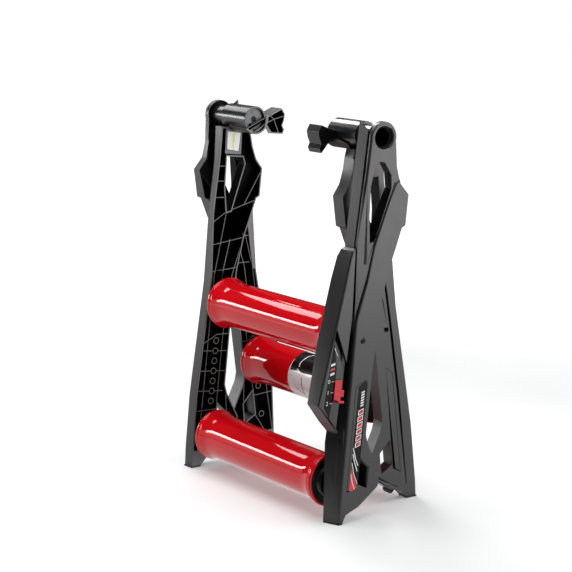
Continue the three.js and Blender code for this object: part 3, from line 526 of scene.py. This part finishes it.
def turned(name, rows, centre, facing, sides, *materials):
    """A body turned about an axis along X, from a closed line of places, radii and material numbers."""
    shape = bmesh.new()
    rings = []
    for place, radius, *number in rows:
        spots = []
        for i in range(sides):
            angle = math.tau * i / sides
            turned_out = Vector((facing * place, radius * math.cos(angle), radius * math.sin(angle)))
            spots.append(shape.verts.new(centre + turned_out))
        rings.append((spots, number[0] if number else 0))
    for (near, material), (far, _) in zip(rings, rings[1:] + rings[:1]):
        for i in range(sides):
            j = (i + 1) % sides
            face = shape.faces.new((near[i], near[j], far[j], far[i]))
            face.material_index = material
    bmesh.ops.recalc_face_normals(shape, faces=shape.faces)
    return smooth_piece(name, shape, *materials)


for side, facing in (("front", -1), ("rear", 1)):
    axis = Vector((0, HINGE.y, HINGE.z))
    sleeve = frame["nodes"][f"{side}_hinge_sleeve"]
    places = [facing * (sleeve.matrix_world @ vertex.co).x for vertex in sleeve.data.vertices]
    start, end = min(places), max(places)
    shoulder = start + CAP_SEAT_DEPTH
    # The bore and the cap's seat inside the sleeve get painted shade.
    rows = [
        (start, SLEEVE_SEAT + LIP), (start, SLEEVE_RADIUS - LIP),
        (start + LIP / 3, SLEEVE_RADIUS - LIP / 3), (start + LIP, SLEEVE_RADIUS),
        (end - LIP, SLEEVE_RADIUS), (end - LIP / 3, SLEEVE_RADIUS - LIP / 3),
        (end, SLEEVE_RADIUS - LIP), (end, SLEEVE_BORE),
        (shoulder, SLEEVE_BORE, PAINTED_SHADE), (shoulder, SLEEVE_SEAT, PAINTED_SHADE), (start + LIP, SLEEVE_SEAT, PAINTED_SHADE),
    ]
    piece = turned(f"{side}_hinge_sleeve_tube", rows, axis, facing, TUBE_SIDES, gloss_nylon, painted_shade_nylon)
    dress(piece, f"{side}_hinge_sleeve")
    shape = joined_copy(f"{side}_hinge_foot")
    mouth = min(abs(vertex.co.x) for vertex in shape.verts)
    # On the foot, the rib edges at the mouth get a painted highlight, and faces turned along X get painted shade.
    for face in shape.faces:
        across = face.normal.x * facing
        if max(abs(vertex.co.x) for vertex in face.verts) < mouth + FOOT_MOUTH and across < -FACING:
            face.material_index = RIB_HIGHLIGHT
        elif abs(across) > FOOT_PAINTED_SHADE_FACING:
            face.material_index = PAINTED_SHADE
    round_edges(shape, FOOT_EDGE, 2)
    piece = smooth_piece(f"{side}_hinge_foot_moulding", shape, foot_shaded_nylon, painted_shade_nylon, rib_highlight_nylon)
    dress(piece, f"{side}_hinge_foot")

for side, facing in (("front", 1), ("rear", -1)):
    tube = frame["nodes"][f"{side}_pivot_tube"]
    places = [facing * (tube.matrix_world @ vertex.co).x for vertex in tube.data.vertices]
    start, end = min(places), max(places)
    # The tube's outer end and its bore get painted shade.
    rows = [
        (start, BOLT_ROOM), (start, PIVOT_RADIUS - LIP), (start + LIP, PIVOT_RADIUS),
        (end - LIP, PIVOT_RADIUS, PAINTED_SHADE), (end, PIVOT_RADIUS - LIP, PAINTED_SHADE), (end, PIVOT_BORE + LIP, PAINTED_SHADE),
        (end - LIP, PIVOT_BORE, PAINTED_SHADE), (start + TUBE_END_WALL, PIVOT_BORE, PAINTED_SHADE),
        (start + TUBE_END_WALL, BOLT_ROOM),
    ]
    piece = turned(f"{side}_pivot_tube_turned", rows, axis, facing, TUBE_SIDES, gloss_nylon, painted_shade_nylon)
    dress(piece, f"{side}_pivot_tube")
    rounded(f"{side}_hinge_cap", CAP_EDGE, 2, cap_nylon)
    rounded(f"{side}_hinge_bolt", BOLT_EDGE, 1, black_steel)

# Rollers. Each drum is a flared tube in deep red lacquer, which shows long sharp highlights, between
# two black nylon end caps with a ball bearing each, on a zinc-plated steel axle. The cap at the wide
# rail carries the belt pulley. The middle drum wears a printed band, here black over silver, plain.
DRUM_SIDES = 128
DRUM_LENGTH = 399 * MM
DRUM_RADIUS = 46.5 * MM
FLANGE_RADIUS = 53 * MM
DRUM_WALL = 3 * MM
FLARE_LENGTH = 80 * MM
FLARE_ROWS = [
    (0, 0.5), (0.004, 0.72), (0.016, 0.9), (0.035, 0.98), (0.06, 1), (0.085, 0.96),
    (0.105, 0.84), (0.115, 0.74), (0.125, 0.74), (0.14, 0.8), (0.16, 0.8), (0.2, 0.68),
    (0.26, 0.47), (0.33, 0.27), (0.41, 0.12), (0.5, 0.04), (0.6, 0.01), (1, 0),
]
CAP_RADIUS = 47.7 * MM
CAP_SEAT_LENGTH = 16 * MM
CAP_RECESS = 2.5 * MM
CAP_WEB = 5 * MM
CAP_HUB_LENGTH = 11 * MM
CAP_HUB_WALL = 4 * MM
CAP_CREASE = [(0, 3), (1.2, 3.6), (1.2, 5), (0, 5.6)]
BEARING_RADIUS = 13 * MM
BEARING_WIDTH = 8 * MM
BEARING_RECESS = 1 * MM
RACE_WALL = 2 * MM
SHIELD_STEP = 2.4 * MM
SHIELD_DEPTH = 0.6 * MM
SHIELD = 1
AXLE_RADIUS = 5 * MM
AXLE_EDGE = 0.4 * MM
SCREW_EDGE = 0.3 * MM
GAP = 0.3 * MM
PULLEY_RADIUS = 34 * MM
PULLEY_WIDTH = 11 * MM
PULLEY_WALL = 6 * MM
PULLEY_GROOVE = 3.6 * MM
GROOVE_STEPS = 8
BAND_START = -66 * MM
BAND_END = 26 * MM
BAND_SIDES = 96
GIRTH_STEP = math.tau * DRUM_RADIUS / BAND_SIDES
BAND_RADIUS = DRUM_RADIUS + 0.12 * MM
BAND_PRINT = [
    (1, 60, [(-66, 58), (-41, 62), (-19, 60), (9, 62), (26, 62)]),
    (2, 3.0, [(-30, 92), (-37, 78), (-39, 62), (-41, 46), (-37, 36)]),
    (2, 2.2, [(-41, 29), (-32, 25), (-20, 19)]),
    (1, 2.0, [(-19, 12), (-18, -4), (-17, -19), (-18, -34), (-22, -50)]),
    (1, 1.8, [(-42, -20), (-27, -29), (-18, -34)]),
]

red_lacquer = finish(
    "red_lacquer", "cd0613", "d40816", 120 * MM, (0.3, 0.36), 5 * MM, 0.002 * MM,
    Specular_IOR_Level=0.0, Coat_Weight=1.0, Coat_Roughness=0.025, Coat_IOR=1.48,
)
cap_black = finish(
    "cap_black_nylon", "0c0c0d", "131314", 25 * MM, (0.34, 0.44), 0.8 * MM, 0.008 * MM, IOR=1.53
)
bearing_steel = finish(
    "bearing_steel", "8e9194", "b4b6b9", 3 * MM, (0.22, 0.34), 0.25 * MM, 0.002 * MM, (1, 0.2, 0.2),
    Metallic=1.0,
)
zinc_steel = finish(
    "zinc_plated_steel", "96999c", "b3b5b8", 6 * MM, (0.28, 0.42), 0.5 * MM, 0.004 * MM, Metallic=1.0
)
band_silver = finish(
    "band_silver", "dfe1e3", "e9ebed", 30 * MM, (0.28, 0.36), 1.5 * MM, 0.002 * MM, Coat_Weight=0.5
)


def drum(prefix, facing):
    """A drum's shell, flared towards both ends, with a seat for a cap in each."""
    centre = Vector(joints[f"{prefix}_spin"]["pos_m"])
    half = DRUM_LENGTH / 2
    bore = DRUM_RADIUS - DRUM_WALL
    rise = FLANGE_RADIUS - DRUM_RADIUS
    flare = [(half - along * FLARE_LENGTH, DRUM_RADIUS + out * rise) for along, out in FLARE_ROWS]
    seat = CAP_RADIUS + GAP
    inside = [(half, seat), (half - CAP_SEAT_LENGTH, seat), (half - CAP_SEAT_LENGTH, bore)]
    mirrored = [(-place, radius) for place, radius in flare]
    rows = mirrored + flare[::-1] + inside + [(-place, radius) for place, radius in inside[::-1]]
    piece = turned(f"{prefix}_drum_shell", rows, centre, facing, DRUM_SIDES, red_lacquer)
    dress(piece, f"{prefix}_drum")


def drum_cap(prefix, end, facing, has_pulley):
    """An end cap on its side of the drum, the outward side along the facing."""
    centre = Vector(joints[f"{prefix}_spin"]["pos_m"])
    face = DRUM_LENGTH / 2 - CAP_RECESS
    seat = BEARING_RADIUS + GAP
    hub = seat + CAP_HUB_WALL
    rows = [
        (face - CAP_HUB_LENGTH, seat), (face - CAP_HUB_LENGTH, hub), (face - CAP_WEB, hub),
        (face - CAP_WEB, CAP_RADIUS), (face - LIP, CAP_RADIUS), (face, CAP_RADIUS - LIP),
    ]
    rows += [(face - deep * MM, CAP_RADIUS - inward * MM) for deep, inward in CAP_CREASE]
    if has_pulley:
        pulley_end = face + PULLEY_WIDTH
        rows.append((face, PULLEY_RADIUS))
        for i in range(GROOVE_STEPS + 1):
            along = i / GROOVE_STEPS
            depth = PULLEY_GROOVE * math.sin(math.pi * along)
            rows.append((face + LIP + along * (PULLEY_WIDTH - 2 * LIP), PULLEY_RADIUS - depth))
        rows += [
            (pulley_end, PULLEY_RADIUS - LIP), (pulley_end, PULLEY_RADIUS - PULLEY_WALL),
            (face, PULLEY_RADIUS - PULLEY_WALL),
        ]
    rows += [(face, hub), (face, seat + LIP), (face - LIP, seat)]
    node = f"{prefix}_cap_{end}_end"
    dress(turned(f"{node}_moulding", rows, centre, facing, TUBE_SIDES, cap_black), node)
    outer = face - BEARING_RECESS
    inner = outer - BEARING_WIDTH
    race = AXLE_RADIUS + GAP
    shield = outer - SHIELD_DEPTH
    rows = [
        (inner, race), (inner, BEARING_RADIUS - LIP), (inner + LIP, BEARING_RADIUS),
        (outer - LIP, BEARING_RADIUS), (outer, BEARING_RADIUS - LIP),
        (outer, BEARING_RADIUS - RACE_WALL, SHIELD), (shield, BEARING_RADIUS - SHIELD_STEP, SHIELD),
        (shield, race + SHIELD_STEP, SHIELD), (outer, race + RACE_WALL),
        (outer, race + LIP / 2), (outer - LIP / 2, race),
    ]
    node = f"{prefix}_bearing_{end}_end"
    dress(turned(f"{node}_ring", rows, centre, facing, TUBE_SIDES, bearing_steel, cap_black), node)


for prefix, facing in (("upper_roller", 1), ("middle_roller", -1), ("lower_roller", 1)):
    drum(prefix, facing)
    drum_cap(prefix, "wide", facing, True)
    drum_cap(prefix, "narrow", -facing, False)
    rounded(f"{prefix}_axle", AXLE_EDGE, 2, zinc_steel)
for end in ("wide", "narrow"):
    rounded(f"upper_roller_screw_{end}_end", SCREW_EDGE, 2, black_steel)


def wrap(shape, centre, near, far, radius, material):
    """Adds a strip round a drum between two lines of places along X and round the girth.

    The girth counts upwards from the drum's front.
    """
    steps = math.ceil(max(abs(b[1] - a[1]) for a, b in zip(near, far)) / GIRTH_STEP)
    rows = []
    for step in range(steps + 1):
        spots = [Vector(a).lerp(Vector(b), step / steps) for a, b in zip(near, far)]
        turns = [(x, girth / DRUM_RADIUS) for x, girth in spots]
        places = [
            (x, centre.y - radius * math.cos(turn), centre.z + radius * math.sin(turn))
            for x, turn in turns
        ]
        rows.append([shape.verts.new(place) for place in places])
    for row, other in zip(rows, rows[1:]):
        for i in range(len(near) - 1):
            shape.faces.new((row[i], row[i + 1], other[i + 1], other[i])).material_index = material


middle = Vector(joints["middle_roller_spin"]["pos_m"])
band = bmesh.new()
for i in range(BAND_SIDES):
    low, high = ([(x, turn * GIRTH_STEP) for x in (BAND_START, BAND_END)] for turn in (i, i + 1))
    wrap(band, middle, low, high, BAND_RADIUS, 0)
for material, width, points in BAND_PRINT:
    path = smooth_line([Vector((x * MM, math.radians(angle) * DRUM_RADIUS)) for x, angle in points])
    outline = stroke(path, width * MM)
    half_way = len(outline) // 2
    radius = BAND_RADIUS + FILM * (1 + material)
    wrap(band, middle, outline[:half_way], outline[half_way:][::-1], radius, material)
bmesh.ops.recalc_face_normals(band, faces=band.faces)
band_piece = smooth_piece("middle_roller_band", band, band_silver, film_black, film_white)
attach(band_piece, "middle_roller")

# Resistance unit on the front frame's wide rail: a satin nylon housing, a printed scale in its sunk
# window, a glossy red slider with a thumb ledge, and behind it a carrier with two nickel-plated magnets.
UNIT_EDGE = 0.8 * MM
UNIT_ROLL = 3 * MM
UNIT_DEPTH = 15 * MM
SLIDER_EDGE = 0.5 * MM
SCALE_STEPS = [(460, "0"), (481, "1"), (502, "2")]
DIGIT_HEIGHT = 7.5
DIGIT_FORWARD = 71.5
DIGIT_SHARE = 0.7
TICK = (62.0, 56.0)
TICK_HALF = 0.5
LEAD_LINE = [(396, 63.5), (412, 53.8)]
LEAD_LINE_WIDTH = 1.2
SWISHES = ((424, WHITE), (433, RED), (442, WHITE))
SWISH_FORWARD = (58.0, 68.0)
SWISH_WIDTH, SWISH_LEAN = 4.5, 3.0
DASH_START, DASH_END = (512.5, 77.5), (514.7, 75.3)
DASH_COUNT, DASH_STEP, DASH_WIDTH = 4, 3.2, 1.6
RIM = 2 * MM
CARRIER_EDGE = 0.4 * MM
MAGNET_EDGE = 0.3 * MM

slider_abs = finish(
    "slider_red_abs", "c20a18", "cb0d1c", 20 * MM, (0.2, 0.28), 2 * MM, 0.004 * MM, IOR=1.52,
    Coat_Weight=0.3,
)
nickel = finish("nickel", "a8a59d", "bfbcb4", 5 * MM, (0.18, 0.28), 0.5 * MM, 0.002 * MM, Metallic=1.0)

housing = joined_copy("resistance_housing")
unit_face = max(vertex.co.x for vertex in housing.verts)
outline = [
    edge for edge in housing.edges
    if is_edge(edge) and min(vertex.co.x for vertex in edge.verts) > unit_face - RIM
    and any(
        face.normal.y < -FRONT_FACING
        and min(vertex.co.x for vertex in face.verts) < unit_face - UNIT_DEPTH
        for face in edge.link_faces
    )
]
round_edges(housing, UNIT_ROLL, FRONT_STEPS, outline)
round_edges(housing, UNIT_EDGE, 3)
dress(smooth_piece("resistance_housing_moulding", housing, satin_nylon), "resistance_housing")
rounded("resistance_slider", SLIDER_EDGE, 2, slider_abs)
rounded("magnet_carrier", CARRIER_EDGE, 2, cap_black)
rounded("magnet_upper", MAGNET_EDGE, 2, nickel)
rounded("magnet_lower", MAGNET_EDGE, 2, nickel)


def add_digit(shape, text, down, forward, place, material):
    """Adds a plain printed digit that reads from the outer side of the front frame's wide rail."""
    curve = bpy.data.curves.new(f"digit_{text}", "FONT")
    curve.body = text
    curve.size = DIGIT_HEIGHT / DIGIT_SHARE
    letter = bpy.data.objects.new(f"digit_{text}", curve)
    flat = bpy.data.meshes.new_from_object(letter)
    corners = [
        shape.verts.new(leg_spot("front", down - vertex.co.y, forward - vertex.co.x, place))
        for vertex in flat.vertices
    ]
    for polygon in flat.polygons:
        shape.faces.new([corners[i] for i in polygon.vertices]).material_index = material
    bpy.data.objects.remove(letter)
    bpy.data.meshes.remove(flat)
    bpy.data.curves.remove(curve)


scale = joined_copy("resistance_scale")
scale_face = max(vertex.co.x for vertex in scale.verts)
round_edges(scale, PANEL_EDGE, 2)
for down, text in SCALE_STEPS:
    add_digit(scale, text, down + DIGIT_HEIGHT / 2, DIGIT_FORWARD, scale_face + FILM, WHITE)
    tick = [
        (down - TICK_HALF, TICK[0]), (down + TICK_HALF, TICK[0]),
        (down + TICK_HALF, TICK[1]), (down - TICK_HALF, TICK[1]),
    ]
    add_plate(scale, "front", tick, scale_face, scale_face + FILM, WHITE)
lead_line = stroke(LEAD_LINE, LEAD_LINE_WIDTH)
add_plate(scale, "front", lead_line, scale_face, scale_face + FILM, WHITE)
for down, colour in SWISHES:
    back, front = SWISH_FORWARD
    swish = [
        (down, back), (down + SWISH_WIDTH, back),
        (down + SWISH_WIDTH + SWISH_LEAN, front), (down + SWISH_LEAN, front),
    ]
    add_plate(scale, "front", swish, scale_face, scale_face + FILM, colour)
for step in range(DASH_COUNT):
    along = DASH_STEP * step
    ends = [(down + along, forward - along) for down, forward in (DASH_START, DASH_END)]
    add_plate(scale, "front", stroke(ends, DASH_WIDTH), scale_face, scale_face + FILM, RED)
dress(smooth_piece("resistance_scale_film", scale, film_black, film_white, film_red), "resistance_scale")

# Feet: rubber pads under the four rails, and a rubber bumper on each narrow rail's slanting end.
# Moulded rubber scatters light widely and shows no highlight.
PAD_EDGE = 0.5 * MM

black_rubber = finish(
    "black_rubber", "0d0d0d", "161616", 15 * MM, (0.7, 0.85), 0.7 * MM, 0.03 * MM, IOR=1.5
)

for side in ("front", "rear"):
    for pad in ("wide_foot_pad", "narrow_foot_pad", "end_bumper"):
        rounded(f"{side}_{pad}", PAD_EDGE, 2, black_rubber)

# Studio: a pale floor that keeps the shadow and runs out to white. On the left stand a long strip and a
# higher one that the drums mirror, and a dim card for the front sides of the rails; a card over the far
# side and a wide light hang above, and one stands behind on the right for the sheen of the outer faces.
# A mirrored ray sees the floor white near the part and along the line of sight, and dark elsewhere.
FLOOR_SIZE = 9.0
FLOOR_SQUARES = 12
FLOOR_WHITE = 0.9
FLOOR_DARK = 0.04
WHITE_WAY = (0.81, 0.59, 0)
WHITE_SECTOR = (0.35, 0.85)
WHITE_NEAR = (0.25, 0.6)
FLOOR_GLOW = 0.2
FLOOR_FADE = (0.9, 2.2)
WORLD_DARK = 0.05
WORLD_BRIGHT = 0.5
BACK_WAY = (0.6, 0.8, 0)
BACK_SECTOR = (0.0, 0.8)

floor_paint = finish("pale_floor", "dadcdc", "dfe1e1", 0.4, (0.5, 0.6), 3 * MM, 0.01 * MM)
floor_shader = floor_paint.node_tree.nodes["Principled BSDF"]
floor_shader.inputs["Emission Color"].default_value = linear("ffffff")
floor_shader.inputs["Specular IOR Level"].default_value = 0.2
ray = add(floor_paint, "ShaderNodeLightPath")
spot = add(floor_paint, "ShaderNodeTexCoord")
distance = add(
    floor_paint, "ShaderNodeVectorMath", links={0: spot.outputs["Object"]}, operation="LENGTH"
)
fade = add(
    floor_paint, "ShaderNodeMapRange",
    {"From Min": FLOOR_FADE[0], "From Max": FLOOR_FADE[1], "To Min": FLOOR_GLOW, "To Max": 1.0},
    {"Value": distance.outputs["Value"]}, interpolation_type="SMOOTHSTEP",
)
glow = add(
    floor_paint, "ShaderNodeMath", links={0: fade.outputs["Result"], 1: ray.outputs["Is Camera Ray"]},
    operation="MULTIPLY",
)
floor_paint.node_tree.links.new(glow.outputs["Value"], floor_shader.inputs["Emission Strength"])
way = add(floor_paint, "ShaderNodeVectorMath", links={0: spot.outputs["Object"]}, operation="NORMALIZE")
aside = add(
    floor_paint, "ShaderNodeVectorMath", {1: WHITE_WAY}, {0: way.outputs["Vector"]},
    operation="DOT_PRODUCT",
)
either = add(floor_paint, "ShaderNodeMath", links={0: aside.outputs["Value"]}, operation="ABSOLUTE")
sector = add(
    floor_paint, "ShaderNodeMapRange",
    {
        "From Min": WHITE_SECTOR[0], "From Max": WHITE_SECTOR[1],
        "To Min": FLOOR_DARK, "To Max": FLOOR_WHITE,
    },
    {"Value": either.outputs["Value"]}, interpolation_type="SMOOTHSTEP",
)
near = add(
    floor_paint, "ShaderNodeMapRange",
    {"From Min": WHITE_NEAR[0], "From Max": WHITE_NEAR[1], "To Min": FLOOR_WHITE, "To Max": 0.0},
    {"Value": distance.outputs["Value"]}, interpolation_type="SMOOTHSTEP",
)
mirrored_white = add(
    floor_paint, "ShaderNodeMath", links={0: sector.outputs["Result"], 1: near.outputs["Result"]},
    operation="MAXIMUM",
)
mirrored = add(floor_paint, "ShaderNodeEmission", links={"Strength": mirrored_white.outputs["Value"]})
either_floor = add(
    floor_paint, "ShaderNodeMixShader",
    links={
        0: ray.outputs["Is Glossy Ray"], 1: floor_shader.outputs["BSDF"],
        2: mirrored.outputs["Emission"],
    },
)
floor_end = floor_paint.node_tree.nodes["Material Output"]
floor_paint.node_tree.links.new(either_floor.outputs["Shader"], floor_end.inputs["Surface"])
floor = bmesh.new()
bmesh.ops.create_grid(floor, x_segments=FLOOR_SQUARES, y_segments=FLOOR_SQUARES, size=FLOOR_SIZE)
smooth_piece("floor", floor, floor_paint)

world = bpy.data.worlds.new("studio")
bpy.context.scene.world = world
world.use_nodes = True
background = world.node_tree.nodes["Background"]
background.inputs["Color"].default_value = linear("ffffff")
heading = add(world, "ShaderNodeTexCoord")
back_share = add(
    world, "ShaderNodeVectorMath", {1: BACK_WAY}, {0: heading.outputs["Generated"]},
    operation="DOT_PRODUCT",
)
room = add(
    world, "ShaderNodeMapRange",
    {
        "From Min": BACK_SECTOR[0], "From Max": BACK_SECTOR[1],
        "To Min": WORLD_DARK, "To Max": WORLD_BRIGHT,
    },
    {"Value": back_share.outputs["Value"]}, interpolation_type="SMOOTHSTEP",
)
path = add(world, "ShaderNodeLightPath")
strength = add(
    world, "ShaderNodeMath", links={0: room.outputs["Result"], 1: path.outputs["Is Camera Ray"]},
    operation="MAXIMUM",
)
world.node_tree.links.new(strength.outputs["Value"], background.inputs["Strength"])


def soft_light(name, place, target, width, height, brightness):
    """A rectangular soft box with that brightness, which the camera doesn't see."""
    lamp = bpy.data.lights.new(name, "AREA")
    lamp.shape = "RECTANGLE"
    lamp.size = width
    lamp.size_y = height
    lamp.energy = brightness * math.pi * width * height
    light = bpy.data.objects.new(name, lamp)
    bpy.context.scene.collection.objects.link(light)
    light.location = place
    light.rotation_euler = (Vector(target) - Vector(place)).to_track_quat("-Z", "Y").to_euler()
    light.visible_camera = False


soft_light("strip_left", (-2.2, -1.6, 0.92), (0, 0, 0.3), 1.5, 0.3, 14)
soft_light("card_front", (-1.3, -1.9, 0.55), (0.1, 0, 0.4), 1.9, 0.8, 0.8)
soft_light("strip_high", (-2.0, -0.15, 1.95), (0, 0, 0.3), 1.2, 0.26, 6)
soft_light("card_high", (-0.72, 0.22, 1.62), (0.15, 0, 0.7), 0.5, 0.5, 15)
soft_light("overhead", (0.1, -0.5, 2.9), (0, 0, 0.3), 2.4, 2.4, 3.6)
soft_light("sheen_right", (1.5, 1.1, 0.6), (0.2, 0, 0.45), 1.7, 1.1, 2.9)

# Camera: its place, turn and lens are the ones that fit the photograph, solved together with the sizes.
CAMERA_PLACE = (2.83278, -2.06913, 1.11553)
CAMERA_YAW = 0.94367617
CAMERA_PITCH = -0.19848427
CAMERA_ROLL = -0.00580399
CAMERA_LENS = 112.2824
SENSOR_WIDTH = 36
forward = Vector(
    (
        -math.sin(CAMERA_YAW) * math.cos(CAMERA_PITCH),
        math.cos(CAMERA_YAW) * math.cos(CAMERA_PITCH),
        math.sin(CAMERA_PITCH),
    )
)
level = Vector((math.cos(CAMERA_YAW), math.sin(CAMERA_YAW), 0))
upright = level.cross(forward)
right = math.cos(CAMERA_ROLL) * level + math.sin(CAMERA_ROLL) * upright
up = -math.sin(CAMERA_ROLL) * level + math.cos(CAMERA_ROLL) * upright
lens = bpy.data.cameras.new("camera")
lens.lens = CAMERA_LENS
lens.sensor_width = SENSOR_WIDTH
camera = bpy.data.objects.new("camera", lens)
bpy.context.scene.collection.objects.link(camera)
turn = Matrix((right, up, -forward)).transposed().to_4x4()
camera.matrix_world = Matrix.Translation(CAMERA_PLACE) @ turn
bpy.context.scene.camera = camera
bpy.context.scene.view_settings.view_transform = "Standard"
